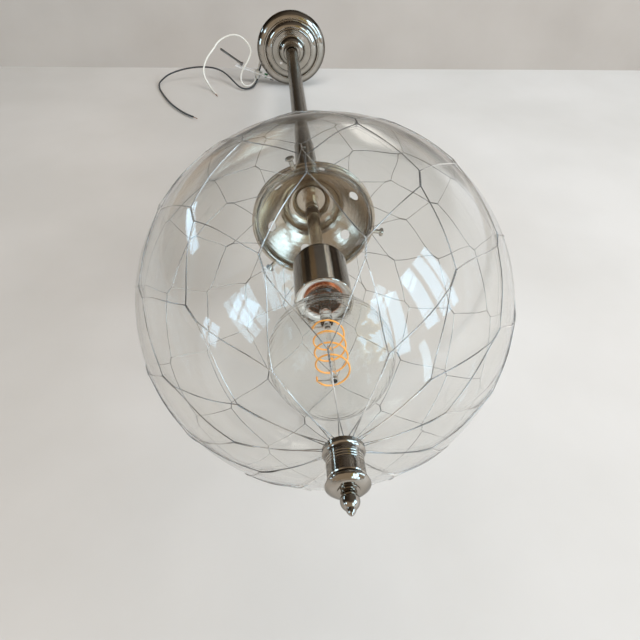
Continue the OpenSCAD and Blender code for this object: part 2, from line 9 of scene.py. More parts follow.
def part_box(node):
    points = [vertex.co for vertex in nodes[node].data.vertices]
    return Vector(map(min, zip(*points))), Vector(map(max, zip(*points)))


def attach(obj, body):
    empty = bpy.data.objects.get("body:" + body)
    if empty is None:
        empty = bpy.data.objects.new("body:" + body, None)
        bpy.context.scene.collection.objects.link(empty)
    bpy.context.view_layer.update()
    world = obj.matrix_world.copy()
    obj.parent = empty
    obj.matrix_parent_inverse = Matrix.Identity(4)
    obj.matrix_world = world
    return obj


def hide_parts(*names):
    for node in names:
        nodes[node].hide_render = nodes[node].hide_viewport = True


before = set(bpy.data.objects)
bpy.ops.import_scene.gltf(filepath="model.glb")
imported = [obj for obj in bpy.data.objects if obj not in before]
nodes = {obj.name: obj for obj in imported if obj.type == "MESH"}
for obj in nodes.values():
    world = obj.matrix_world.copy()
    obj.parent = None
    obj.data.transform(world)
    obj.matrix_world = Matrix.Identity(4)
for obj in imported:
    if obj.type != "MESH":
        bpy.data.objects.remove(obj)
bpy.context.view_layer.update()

scene = bpy.context.scene
scene.view_settings.view_transform = "Standard"

MM = 0.001
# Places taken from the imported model
globe_low, globe_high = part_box("globe_glass")
GLOBE_R = (globe_high.x - globe_low.x) / 2
GLOBE_CENTRE = Vector((0, 0, globe_low.z + GLOBE_R))

# Camera, at the place from which the globe, stem and canopy line up as they do in the picture
CAMERA_PLACE = Vector((-0.0234, -0.2271, -1.1034))
CAMERA_FORWARD = Vector((0.0521, 0.6236, 0.7800))
CAMERA_UP = Vector((0.0489, -0.7817, 0.6217))
CAMERA_SENSOR_WIDTH = 36
CAMERA_LENS = 30.09
CAMERA_NEAR = 0.01
CAMERA_FAR = 30


def make_camera():
    forward = CAMERA_FORWARD.normalized()
    right = forward.cross(CAMERA_UP).normalized()
    up = right.cross(forward)
    data = bpy.data.cameras.new("camera")
    data.sensor_fit = "HORIZONTAL"
    data.sensor_width = CAMERA_SENSOR_WIDTH
    data.lens = CAMERA_LENS
    data.clip_start = CAMERA_NEAR
    data.clip_end = CAMERA_FAR
    camera = bpy.data.objects.new("camera", data)
    turn = Matrix((right, up, -forward)).transposed()
    camera.matrix_world = Matrix.Translation(CAMERA_PLACE) @ turn.to_4x4()
    scene.collection.objects.link(camera)
    scene.camera = camera


make_camera()


# Shaders
class Shading:
    """The nodes of a material or of the world, with short ways to add to them."""

    # A Mix node's sockets when it mixes colours
    MIX_SHARE, MIX_BELOW, MIX_ABOVE, MIX_RESULT = 0, 6, 7, 2

    def __init__(self, tree, coordinates):
        self.tree = tree
        self.place = self.node("ShaderNodeTexCoord").outputs[coordinates]

    def join(self, value, socket):
        """Links a socket, or sets a number or colour."""
        if isinstance(value, bpy.types.NodeSocket):
            self.tree.links.new(value, socket)
        elif isinstance(value, tuple) and len(value) == 3 and socket.type == "RGBA":
            socket.default_value = (*value, 1)
        else:
            socket.default_value = value

    def node(self, kind, inputs=None, **settings):
        """A new node with these settings. Its inputs are given by name or number."""
        made = self.tree.nodes.new(kind)
        for key, value in settings.items():
            setattr(made, key, value)
        for socket, value in (inputs or {}).items():
            self.join(value, made.inputs[socket])
        return made

    def maths(self, operation, *values):
        made = self.node("ShaderNodeMath", dict(enumerate(values)), operation=operation)
        return made.outputs[0]

    def axis(self, letter):
        """One coordinate of the place."""
        return self.node("ShaderNodeSeparateXYZ", {0: self.place}).outputs[letter]

    def dot(self, direction):
        """How far the place lies in that direction."""
        made = self.node("ShaderNodeVectorMath", {0: self.place, 1: tuple(direction)},
                         operation="DOT_PRODUCT")
        return made.outputs["Value"]

    def clouds(self, vector, scale, detail):
        made = self.node("ShaderNodeTexNoise",
                         {"Vector": vector, "Scale": scale, "Detail": detail})
        return made.outputs["Fac"]

    def zone(self, value, start, end):
        """0 before the start and 1 after the end, with a soft step between."""
        made = self.node("ShaderNodeMapRange",
                         {"Value": value, "From Min": start, "From Max": end},
                         interpolation_type="SMOOTHSTEP")
        return made.outputs["Result"]

    def spread(self, value, low, high):
        """A value between 0 and 1, brought between low and high."""
        made = self.node("ShaderNodeMapRange", {"Value": value, "To Min": low, "To Max": high})
        return made.outputs["Result"]

    def layer(self, share, below, above, blend="MIX"):
        """One colour over another, by its share."""
        made = self.node("ShaderNodeMix", data_type="RGBA", blend_type=blend)
        self.join(share, made.inputs[self.MIX_SHARE])
        self.join(below, made.inputs[self.MIX_BELOW])
        self.join(above, made.inputs[self.MIX_ABOVE])
        return made.outputs[self.MIX_RESULT]

    def ramp(self, value, stops):
        """Colours by value, through the stops, each a place and a colour."""
        made = self.node("ShaderNodeValToRGB", {"Fac": value})
        points = made.color_ramp.elements
        for point, (place, colour) in zip(points, (stops[0], stops[-1])):
            point.position = place
            point.color = (*colour, 1)
        for place, colour in stops[1:-1]:
            points.new(place).color = (*colour, 1)
        return made.outputs["Color"]


class Surface(Shading):
    """A material on the standard surface shader."""

    # The part of the clouds' range over which a mottled colour changes
    MOTTLE_START, MOTTLE_END = 0.35, 0.65

    def __init__(self, name):
        self.material = bpy.data.materials.new(name)
        self.material.use_nodes = True
        super().__init__(self.material.node_tree, "Object")
        self.shader = self.tree.nodes["Principled BSDF"]

    def set(self, inputs):
        for name, value in inputs.items():
            self.join(value, self.shader.inputs[name])

    def mottled(self, clouds, colour, tint):
        """From the colour to the tint, by the clouds."""
        return self.ramp(clouds, ((self.MOTTLE_START, colour), (self.MOTTLE_END, tint)))

    def bump(self, height, strength, distance):
        made = self.node("ShaderNodeBump",
                         {"Height": height, "Strength": strength, "Distance": distance})
        self.set({"Normal": made.outputs["Normal"]})


METAL_CLOUDS = 35
METAL_DEPTH = 0.4 * MM
# How far a metal's roughness varies, and how the painted shade at a metal's edges turns warmer
GLOSS_RANGE = (0.75, 1.3)
EDGE_SHADE_WARMTH = (1, 0.96, 0.9)
PLAIN_DEPTH = 0.3 * MM
GLASS_DEPTH = 2 * MM


def metal(name, colour, tint, roughness, grain=220, relief=0.04, metallic=1.0, edge=1.0,
          fade=(0.35, 0.8)):
    """A metal whose colour and gloss vary a little over its surface. Where it turns away from the
    view, over the fade, painted shade darkens it to the edge's share of its colour."""
    surface = Surface(name)
    base = surface.mottled(surface.clouds(surface.place, METAL_CLOUDS, detail=3), colour, tint)
    # Painted shade: darker where the surface turns away from the view
    if edge < 1:
        facing = surface.node("ShaderNodeLayerWeight").outputs["Facing"]
        dark = tuple(edge * part for part in EDGE_SHADE_WARMTH)
        shade = surface.ramp(facing, ((fade[0], (1, 1, 1)), (fade[1], dark)))
        base = surface.layer(1, base, shade, "MULTIPLY")
    fine = surface.clouds(surface.place, grain, detail=4)
    gloss = surface.spread(fine, roughness * GLOSS_RANGE[0], roughness * GLOSS_RANGE[1])
    surface.set({"Metallic": metallic, "Base Color": base, "Roughness": gloss})
    surface.bump(fine, relief, METAL_DEPTH)
    return surface.material


def plain(name, colour, tint, roughness, grain=300, relief=0.1, sheen=0.0):
    """A plastic, ceramic or enamel with a little mottling."""
    surface = Surface(name)
    fine = surface.clouds(surface.place, grain, detail=4)
    surface.set({"Base Color": surface.mottled(fine, colour, tint), "Roughness": roughness,
                 "Coat Weight": sheen})
    surface.bump(fine, relief, PLAIN_DEPTH)
    return surface.material


def glass(name, colour, roughness, wave_scale, wave, ior=1.48):
    """Blown glass: clear, with slow waves in its surface."""
    surface = Surface(name)
    surface.set({"Base Color": colour, "Roughness": roughness, "IOR": ior,
                 "Transmission Weight": 1})
    surface.bump(surface.clouds(surface.place, wave_scale, detail=1), wave, GLASS_DEPTH)
    return surface.material


def with_painted_glow(material, colour, strength):
    """The material, with a painted glow: a little light of its own."""
    shader = material.node_tree.nodes["Principled BSDF"]
    shader.inputs["Emission Color"].default_value = (*colour, 1)
    shader.inputs["Emission Strength"].default_value = strength
    return material


# Polished nickel, and copies of it for single parts. Every one darkens at its edges with painted
# shade.
nickel = metal("polished_nickel", (0.78, 0.74, 0.68), (0.70, 0.66, 0.60), 0.05,
               relief=0.01, edge=0.2, fade=(0.28, 0.55))
# Painted shade: a darker copy of the nickel for the finial
finial_nickel_shaded = metal("finial_nickel_shaded", (0.54, 0.50, 0.45), (0.45, 0.41, 0.36), 0.09,
                      relief=0.01, edge=0.3)
# Painted warm reflection: a golden copy of the nickel for the fitter and its nut
fitter_nickel_warm_lit = metal("fitter_nickel_warm_lit", (0.74, 0.66, 0.56), (0.65, 0.57, 0.475), 0.2,
                      relief=0.02, edge=0.85)
# Painted shade: a darker copy of the nickel for the stem
stem_nickel_shaded = metal("stem_nickel_shaded", (0.42, 0.38, 0.33), (0.34, 0.31, 0.26), 0.2,
                    relief=0.02, edge=0.35, fade=(0.22, 0.5))
# Painted shade: a darker copy of the nickel for the canopy
canopy_nickel_shaded = metal("canopy_nickel_shaded", (0.52, 0.48, 0.43), (0.42, 0.39, 0.34), 0.08,
                      relief=0.02, edge=0.3, fade=(0.2, 0.5))
brass_metal = metal("brass", (0.72, 0.54, 0.30), (0.60, 0.44, 0.24), 0.28)
bronze = metal("dark_bronze", (0.30, 0.24, 0.18), (0.22, 0.17, 0.13), 0.34)
# Painted highlights and shade: the wire's colour runs at random between near white and dark grey
# along it
wire_steel = metal("steel_wire", (1.0, 0.98, 0.95), (0.20, 0.19, 0.18), 0.16,
                   grain=900, metallic=0.8)
copper_metal = metal("copper", (0.80, 0.42, 0.26), (0.62, 0.30, 0.18), 0.26)
# Painted highlight: the crossbar's zinc is a whiter, lit copy of the zinc steel
crossbar_lit_zinc = metal("lit_copy_zinc", (1.0, 1.0, 1.0), (0.94, 0.95, 0.96), 0.3,
                 grain=500, metallic=0.2)
zinc = metal("zinc_steel", (0.82, 0.82, 0.80), (0.70, 0.70, 0.68), 0.3, grain=500)
dark_metal = metal("dark_steel", (0.30, 0.29, 0.28), (0.18, 0.17, 0.17), 0.36, grain=500)
green_metal = plain("green_steel", (0.05, 0.30, 0.12), (0.04, 0.22, 0.09), 0.3)
clear = glass("clear_glass", (0.935, 0.93, 0.915), 0.0, wave_scale=14, wave=0.06)
bulb_clear = glass("bulb_clear_glass", (0.99, 0.99, 0.98), 0.0, wave_scale=30, wave=0.03,
                   ior=1.22)
mount_glass = glass("mount_glass", (0.90, 0.90, 0.89), 0.05, wave_scale=160, wave=0.3)
ceramic = plain("white_ceramic", (0.86, 0.85, 0.82), (0.80, 0.79, 0.75), 0.25,
                grain=120, relief=0.05, sheen=0.5)
nylon = plain("nylon", (0.80, 0.77, 0.68), (0.74, 0.71, 0.62), 0.45)
black_glass = plain("black_glass", (0.03, 0.03, 0.03), (0.02, 0.02, 0.02), 0.2)
black_cover = plain("black_insulation", (0.035, 0.037, 0.04), (0.05, 0.052, 0.055), 0.42,
                    grain=500)
white_cover = plain("white_insulation", (0.86, 0.84, 0.78), (0.78, 0.76, 0.70), 0.4, grain=500)
# Painted glow: the filament gives a little light of its own
amber = with_painted_glow(plain("amber_filament", (0.86, 0.36, 0.06), (0.95, 0.47, 0.10), 0.35),
                colour=(1, 0.42, 0.06), strength=0.15)


def paint(obj, material):
    """Gives an object its one material."""
    obj.data.materials.clear()
    obj.data.materials.append(material)


# The nodes that are shown as they are, with their material and slot
DRESSED = {
    "canopy": (canopy_nickel_shaded, "polished_nickel"),
    "swivel_collar": (canopy_nickel_shaded, "polished_nickel"),
    "swivel_seat": (nylon, "nylon"),
    "swivel_ball": (canopy_nickel_shaded, "polished_nickel"),
    "stem_tube": (stem_nickel_shaded, "polished_nickel"),
    "stem_sleeve": (stem_nickel_shaded, "polished_nickel"),
    "sleeve_set_screw": (zinc, "zinc_steel"),
    "inner_leads": (black_cover, "black_insulation"),
    "fitter": (fitter_nickel_warm_lit, "polished_nickel"),
    "fitter_washer": (fitter_nickel_warm_lit, "polished_nickel"),
    "fitter_nut": (fitter_nickel_warm_lit, "polished_nickel"),
    "socket_tube": (fitter_nickel_warm_lit, "polished_nickel"),
    "socket_ring": (bronze, "dark_bronze"),
    "socket_cup": (nickel, "polished_nickel"),
    "socket_insulator": (ceramic, "white_ceramic"),
    "screw_shell": (copper_metal, "copper"),
    "socket_contact": (brass_metal, "brass"),
    "thumbscrew_1": (nickel, "polished_nickel"),
    "thumbscrew_2": (nickel, "polished_nickel"),
    "thumbscrew_3": (nickel, "polished_nickel"),
    "globe_glass": (clear, "clear_glass"),
    "neck_ring": (wire_steel, "steel_wire"),
    "finial_cap": (finial_nickel_shaded, "polished_nickel"),
    "finial_hub": (zinc, "zinc_steel"),
    "finial_bell": (finial_nickel_shaded, "polished_nickel"),
    "finial_knob": (finial_nickel_shaded, "polished_nickel"),
    "bulb_glass": (bulb_clear, "bulb_clear_glass"),
    "bulb_base": (copper_metal, "copper"),
    "bulb_insulator": (black_glass, "black_glass"),
    "bulb_contact": (brass_metal, "brass"),
    "bulb_stem": (mount_glass, "bulb_clear_glass"),
    "filament_supports": (zinc, "zinc_steel"),
    "crossbar": (crossbar_lit_zinc, "zinc_steel"),
    "crossbar_nipple": (zinc, "zinc_steel"),
    "crossbar_nuts": (zinc, "zinc_steel"),
    "mounting_screws": (dark_metal, "dark_steel"),
    "ground_screw": (green_metal, "green_steel"),
}
for name, (material, slot) in DRESSED.items():
    paint(nodes[name], material)
for name in ("globe_glass", "bulb_glass", "bulb_stem"):
    # Clear glass lets the light through to what lies behind it
    nodes[name].visible_shadow = False
    nodes[name].visible_diffuse = False


# Round rods along curves
def new_rods(name, radius, roundness):
    """A curve that is drawn as round rods with closed ends."""
    curve = bpy.data.curves.new(name, "CURVE")
    curve.dimensions = "3D"
    curve.bevel_depth = radius
    curve.bevel_resolution = roundness
    curve.use_fill_caps = True
    return curve


def add_rod(curve, points):
    """One more rod, straight from each point to the next."""
    spline = curve.splines.new("POLY")
    spline.points.add(len(points) - 1)
    for knot, point in zip(spline.points, points):
        knot.co = (*point, 1)


def show_rods(curve, material):
    """The curve's piece, under the curve's name."""
    obj = bpy.data.objects.new(curve.name, curve)
    scene.collection.objects.link(obj)
    paint(obj, material)
    return obj


# Filament: one amber spiral with straight ends on its two clips. Heights from the globe's centre.
FILAMENT_COIL_R = 10.25 * MM
FILAMENT_R = 0.6 * MM
FILAMENT_TOP = -30 * MM
FILAMENT_FOOT = -74 * MM
FILAMENT_TURNS = 4
FILAMENT_END = 3.2 * MM
STEPS_PER_TURN = 40


def make_filament():
    steps = STEPS_PER_TURN * FILAMENT_TURNS
    points = [Vector((-FILAMENT_COIL_R, 0, FILAMENT_TOP + FILAMENT_END))]
    for i in range(steps + 1):
        angle = math.pi + 2 * math.pi * FILAMENT_TURNS * i / steps
        height = FILAMENT_TOP + (FILAMENT_FOOT - FILAMENT_TOP) * i / steps
        points.append(Vector((FILAMENT_COIL_R * math.cos(angle),
                              FILAMENT_COIL_R * math.sin(angle), height)))
    points.append(Vector((-FILAMENT_COIL_R, 0, FILAMENT_FOOT - FILAMENT_END)))
    curve = new_rods("filament_spiral", FILAMENT_R, roundness=3)
    add_rod(curve, [point + GLOBE_CENTRE for point in points])
    obj = show_rods(curve, amber)
    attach(obj, "bulb")
    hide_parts("filament")


make_filament()


# Supply leads. Their routes are in millimetres, as in the part's source.
LEAD_D = 3 * MM
LEAD_START_Z = -20.9
BLACK_ROUTE = [
    (1.75, 0, LEAD_START_Z), (1.75, 0, -15), (0, 3.5, -6), (-7, 9, 3), (-16, 12.5, 12),
    (-26, 16, 20), (-38, 19, 25), (-49, 22.5, 26), (-56.5, 28, 23), (-61, 36, 20),
    (-64.4, 46.5, 19.6), (-67.3, 55.8, 18.8), (-69.8, 60.1, 12.5), (-71.8, 61.6, 4),
    (-73.8, 62.3, -6), (-77, 62.5, -17), (-84, 63, -25), (-94, 62.5, -26), (-103, 60, -18),
    (-113, 55, -3), (-124, 49, 15), (-137, 44, 31), (-152, 41, 42), (-169, 40, 48),
    (-186, 40, 49), (-201, 41, 47), (-216, 43, 44), (-230, 46, 40), (-243, 50, 34),
    (-252, 55, 25), (-257, 59, 12), (-255, 62, -4), (-249, 64, -24), (-238, 66, -52),
    (-224, 68, -84), (-208, 70, -112), (-191, 72, -135), (-176, 73, -151)]
WHITE_ROUTE = [
    (-1.75, 0, LEAD_START_Z), (-1.75, 0, -15), (-4, 1.5, -6), (-10, 5, 5), (-18, 7.5, 16),
    (-28, 11, 25.5), (-40, 14.5, 31), (-52, 19, 31), (-60.5, 25.5, 26), (-64.3, 35.2, 20.9),
    (-67.6, 45.5, 20.4), (-70.5, 55, 19.6), (-74.2, 59.8, 11), (-77.5, 61.3, 1),
    (-81, 61.6, -7.5), (-86, 61.2, -13), (-93, 59, -15.5), (-98, 51, -12), (-97, 41, -8),
    (-91, 30, -5), (-82, 18, -1), (-76, 4, 4), (-81, -8, 9), (-91, -17, 15), (-103, -21, 19),
    (-115, -20, 20), (-127, -16, 18), (-137, -10, 14), (-146, 0, 7), (-156, 10, 0),
    (-163, 21, -5), (-167, 33, -8), (-165, 46, -11), (-159, 57, -15), (-152, 63.5, -28),
    (-146, 65.9, -42)]
STEPS_PER_KNOT = 6


def lead(name, route, material):
    """A round cord through the route's points, with handles that make it the part's own curve."""
    points = [Vector(p) * MM for p in route]
    curve = new_rods(name, LEAD_D / 2, roundness=4)
    curve.resolution_u = STEPS_PER_KNOT
    spline = curve.splines.new("BEZIER")
    spline.bezier_points.add(len(points) - 1)
    for i, knot in enumerate(spline.bezier_points):
        before = points[max(i - 1, 0)]
        after = points[min(i + 1, len(points) - 1)]
        knot.co = points[i]
        knot.handle_left_type = knot.handle_right_type = "FREE"
        # A third of the slope at the point, which is half the way between its neighbours
        reach = (after - before) / 6
        knot.handle_left = points[i] - reach
        knot.handle_right = points[i] + reach
    obj = show_rods(curve, material)
    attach(obj, "canopy")
    return obj


black_lead = lead("lead_black", BLACK_ROUTE, black_cover)
white_lead = lead("lead_white", WHITE_ROUTE, white_cover)
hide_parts("black_lead")
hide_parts("white_lead")

# The bare strands at the far end of each lead: a ring of them, twisted round one in the middle
BARE_LENGTH = 11 * MM
STRAND_R = 0.17 * MM
STRAND_RING_R = 0.5 * MM
RING_STRANDS = 8
STRAND_STEPS = 14


def strands(name, route, turn):
    end = Vector(route[-1]) * MM
    run = (end - Vector(route[-2]) * MM).normalized()
    side = run.orthogonal().normalized()
    across = run.cross(side)
    starts = [(STRAND_RING_R, 2 * math.pi * k / RING_STRANDS) for k in range(RING_STRANDS)]
    curve = new_rods(name, STRAND_R, roundness=1)
    for ring, place in starts + [(0, 0)]:
        points = []
        for i in range(STRAND_STEPS + 1):
            angle = place + turn * 2 * math.pi * i / STRAND_STEPS
            out = side * math.cos(angle) + across * math.sin(angle)
            points.append(end + run * (BARE_LENGTH * i / STRAND_STEPS) + out * ring)
        add_rod(curve, points)
    obj = show_rods(curve, copper_metal)
    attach(obj, "canopy")
    return obj


black_end = strands("strands_black", BLACK_ROUTE, 0.9)
white_end = strands("strands_white", WHITE_ROUTE, 1.1)
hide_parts("stripped_ends")
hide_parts("stripped_ends")

# Wire net: 24 wires, twisted in pairs wherever two of them meet. All angles are in degrees, up
# from the finial and round the axis, and its lengths are from the globe's centre.
ROW_ANGLES = [24.5, 48.1, 70.6, 90.6, 109, 127, 143]
NET_TURN = -96.8
NET_COLUMNS = 12
STEP = 360 / NET_COLUMNS
WIRE_R = 0.3 * MM
WIRE_LIE_R = GLOBE_R + WIRE_R + 0.08 * MM
# Length and half turns of a twist, in the lowest rows and above them
LONG_ROWS = 3
LONG_TWIST = (12 * MM, 7)
SHORT_TWIST = (8 * MM, 5)
TWIST_AXIS_R = GLOBE_R + 2 * WIRE_R + 0.12 * MM
TWIST_WIRE_R = WIRE_R + 0.04 * MM
STEPS_PER_HALF_TURN = 5
# Errors of hand work: each twist's place up and round, and its length
FIRST_ROW_ERROR = (0.3, 0.3)
ROW_ERROR = (0.9, 0.8)
LENGTH_ERROR = (0.85, 1.12)
# How far a run bends to the side, once and to and fro
RUN_STEPS = 7
RUN_BEND = 0.9 * MM
RUN_WAVE = 0.6 * MM
# A wire's foot in the finial, and where it comes to lie on the glass
LEG_R = 9.97 * MM
LEG_SPLIT = 6.4
LEG_FOOT_Z = -131.6 * MM
LEG_TURN_Z = -129.6 * MM
LEG_BEND = 0.8 * MM
LANDING_UP = 4.5
LANDING_LIFT = 0.3 * MM
LANDING_SPLIT = 1.1 * MM
# A wire's end at the neck, and the hook's two points over the neck ring, each out and up
NECK_UP = 156.2
NECK_TURN = 12.6
NECK_BEND = 0.4 * MM
NECK_STEPS = 4
HOOK = [(50.9 * MM, 117.45 * MM), (50.5 * MM, 117.62 * MM)]
rng = random.Random(7)


def on_globe(up, turn, radius):
    """A point at an angle up from the finial and an angle round the axis."""
    u, t = math.radians(up), math.radians(turn)
    return Vector((math.sin(u) * math.cos(t), math.sin(u) * math.sin(t), -math.cos(u))) * radius


def directions(up, turn):
    """Along the globe upwards, and to the side."""
    u, t = math.radians(up), math.radians(turn)
    rise = Vector((math.cos(u) * math.cos(t), math.cos(u) * math.sin(t), math.sin(u)))
    return rise, Vector((-math.sin(t), math.cos(t), 0))


class Twist:
    """Where two wires meet, with its own small error of hand work."""

    def __init__(self, row, column):
        up_error, turn_error = ROW_ERROR if row else FIRST_ROW_ERROR
        self.up = ROW_ANGLES[row] + rng.uniform(-1, 1) * up_error
        self.turn = NET_TURN + column * STEP / 2 + rng.uniform(-1, 1) * turn_error
        length, self.half_turns = LONG_TWIST if row < LONG_ROWS else SHORT_TWIST
        self.length = length * rng.uniform(*LENGTH_ERROR)

    def points(self, way):
        """Points of the wire that goes that way, from below the twist to above it."""
        centre = on_globe(self.up, self.turn, TWIST_AXIS_R)
        rise, side = directions(self.up, self.turn)
        out = centre.normalized()
        start = math.pi if way > 0 else 2 * math.pi
        steps = self.half_turns * STEPS_PER_HALF_TURN
        points = []
        for i in range(steps + 1):
            share = i / steps
            angle = start - math.pi * self.half_turns * share
            along = rise * (self.length * (share - 0.5))
            around = (side * math.cos(angle) + out * math.sin(angle)) * TWIST_WIRE_R
            # The twist follows the globe's curve
            drop = along.length_squared / (2 * TWIST_AXIS_R)
            points.append(centre + along + around - out * drop)
        return points


twists = {}
for row in range(len(ROW_ANGLES)):
    for column in range(row % 2, 2 * NET_COLUMNS, 2):
        twists[row, column] = Twist(row, column)


def loose_run(p, q, bend, steps=RUN_STEPS):
    """The bare stretch between two twists: it lies on the glass with a slight bend of its own."""
    points = []
    side = p.cross(q).normalized()
    for i in range(1, steps):
        share = i / steps
        point = p.lerp(q, share).normalized() * WIRE_LIE_R
        wave = math.sin(math.pi * share) * bend[0] + math.sin(2 * math.pi * share) * bend[1]
        points.append((point + side * wave).normalized() * WIRE_LIE_R)
    return points


def net_wire(column, way):
    """One wire from the finial to the neck, slanting that way round the globe."""
    start = NET_TURN + column * STEP
    foot = math.radians(start - way * LEG_SPLIT)
    leg = Vector((math.cos(foot), math.sin(foot), 0)) * LEG_R
    _, side = directions(LANDING_UP, start)
    landing = on_globe(LANDING_UP, start, WIRE_LIE_R + LANDING_LIFT)
    points = [leg + Vector((0, 0, LEG_FOOT_Z)), leg + Vector((0, 0, LEG_TURN_Z)),
              landing - side * way * LANDING_SPLIT]
    for row in range(len(ROW_ANGLES)):
        crossing = twists[row, (2 * column + way * row) % (2 * NET_COLUMNS)].points(way)
        bend = (rng.uniform(-1, 1) * RUN_BEND, rng.uniform(-1, 1) * RUN_WAVE)
        if row == 0:
            bend = (-way * LEG_BEND, 0)
        points += loose_run(points[-1], crossing[0], bend)
        points += crossing
    end = start + way * ((len(ROW_ANGLES) - 1) * STEP / 2 + NECK_TURN)
    last = on_globe(NECK_UP, end, WIRE_LIE_R)
    points += loose_run(points[-1], last, (NECK_BEND * way, 0), NECK_STEPS) + [last]
    # The end bends in over the neck ring
    out = Vector((last.x, last.y, 0)).normalized()
    return points + [out * reach + Vector((0, 0, height)) for reach, height in HOOK]


def make_net():
    curve = new_rods("wire_net", WIRE_R, roundness=2)
    for column in range(NET_COLUMNS):
        for way in (-1, 1):
            add_rod(curve, [point + GLOBE_CENTRE for point in net_wire(column, way)])
    obj = show_rods(curve, wire_steel)
    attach(obj, "globe")
    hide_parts("net")


make_net()

# Table and wall
PAINT_ROUGHNESS = 0.55
PAINT_CLOUDS = 4.5
# The table's paint gets its warmer, darker painted shade from one of these places across to the
# other
SHADE_START_X = 0.05
SHADE_END_X = -0.30


def stage_material(name, colour, tint, left_shade=None):
    """A pale paint. Given a shade colour, it takes that warmer painted shade towards the left."""
    surface = Surface(name)
    base = surface.mottled(surface.clouds(surface.place, PAINT_CLOUDS, detail=6), colour, tint)
    # Painted shade, darker and warmer towards the left
    if left_shade:
        share = surface.zone(surface.axis("X"), SHADE_START_X, SHADE_END_X)
        base = surface.layer(share, base, left_shade, "MULTIPLY")
    surface.set({"Base Color": base, "Roughness": PAINT_ROUGHNESS})
    # Seen from behind, the sheet isn't there, so that it never hides the light
    behind = surface.node("ShaderNodeNewGeometry").outputs["Backfacing"]
    nothing = surface.node("ShaderNodeBsdfTransparent").outputs["BSDF"]
    mix = surface.node("ShaderNodeMixShader",
                       {0: behind, 1: surface.shader.outputs["BSDF"], 2: nothing})
    surface.join(mix.outputs["Shader"], surface.tree.nodes["Material Output"].inputs["Surface"])
    return surface.material


def stage_sheet(name, corners, material):
    mesh = bpy.data.meshes.new(name)
    mesh.from_pydata(corners, [], [(0, 1, 2, 3)])
    obj = bpy.data.objects.new(name, mesh)
    mesh.materials.append(material)
    scene.collection.objects.link(obj)


SHEET_REACH = 6
# The table passes the axis at this distance, and comes nearer with height
TABLE_Y = 0.0641
TABLE_SLOPE = -0.081
TABLE_START_Z = -7
# The far edge runs at a slant behind the canopy
TABLE_END_Z = 0.092
TABLE_END_SLOPE = -0.089
# Y and Z of the wall's two long edges
WALL_BACK = (2.36, 0.36)
WALL_FRONT = (-0.07, 0.42)


def on_table(x, z):
    return x, TABLE_Y + TABLE_SLOPE * z, z


stage_sheet("table", [on_table(-SHEET_REACH, TABLE_START_Z), on_table(SHEET_REACH, TABLE_START_Z),
                      on_table(SHEET_REACH, TABLE_END_Z + SHEET_REACH * TABLE_END_SLOPE),
                      on_table(-SHEET_REACH, TABLE_END_Z - SHEET_REACH * TABLE_END_SLOPE)],
            stage_material("table_paint", (0.73, 0.715, 0.70), (0.665, 0.65, 0.63),
                           left_shade=(0.93, 0.89, 0.855)))
stage_sheet("wall", [(-SHEET_REACH, *WALL_BACK), (SHEET_REACH, *WALL_BACK),
                     (SHEET_REACH, *WALL_FRONT), (-SHEET_REACH, *WALL_FRONT)],
            stage_material("wall_paint", (0.545, 0.505, 0.475), (0.49, 0.45, 0.42)))

# Lamps
LAMP_AIM = Vector((0, 0, -0.75))


def lamp(name, place, width, height, radiance, colour):
    """A flat lamp aimed at the globe. It only lights: what shines in the metal is the room."""
    data = bpy.data.lights.new(name, "AREA")
    data.shape = "RECTANGLE"
    data.size = width
    data.size_y = height
    data.energy = radiance * math.pi * width * height
    data.color = colour
    obj = bpy.data.objects.new(name, data)
    obj.location = place
    obj.rotation_euler = (LAMP_AIM - Vector(place)).to_track_quat("-Z", "Y").to_euler()
    obj.visible_glossy = False
    obj.visible_transmission = False
    scene.collection.objects.link(obj)


lamp("daylight", place=(1.7, -1.1, -1.6), width=1.1, height=1.1, radiance=9.0,
     colour=(1, 0.97, 0.94))
lamp("overhead", place=(0.2, -2.3, -0.6), width=1.8, height=1.4, radiance=3.5,
     colour=(1, 0.965, 0.925))


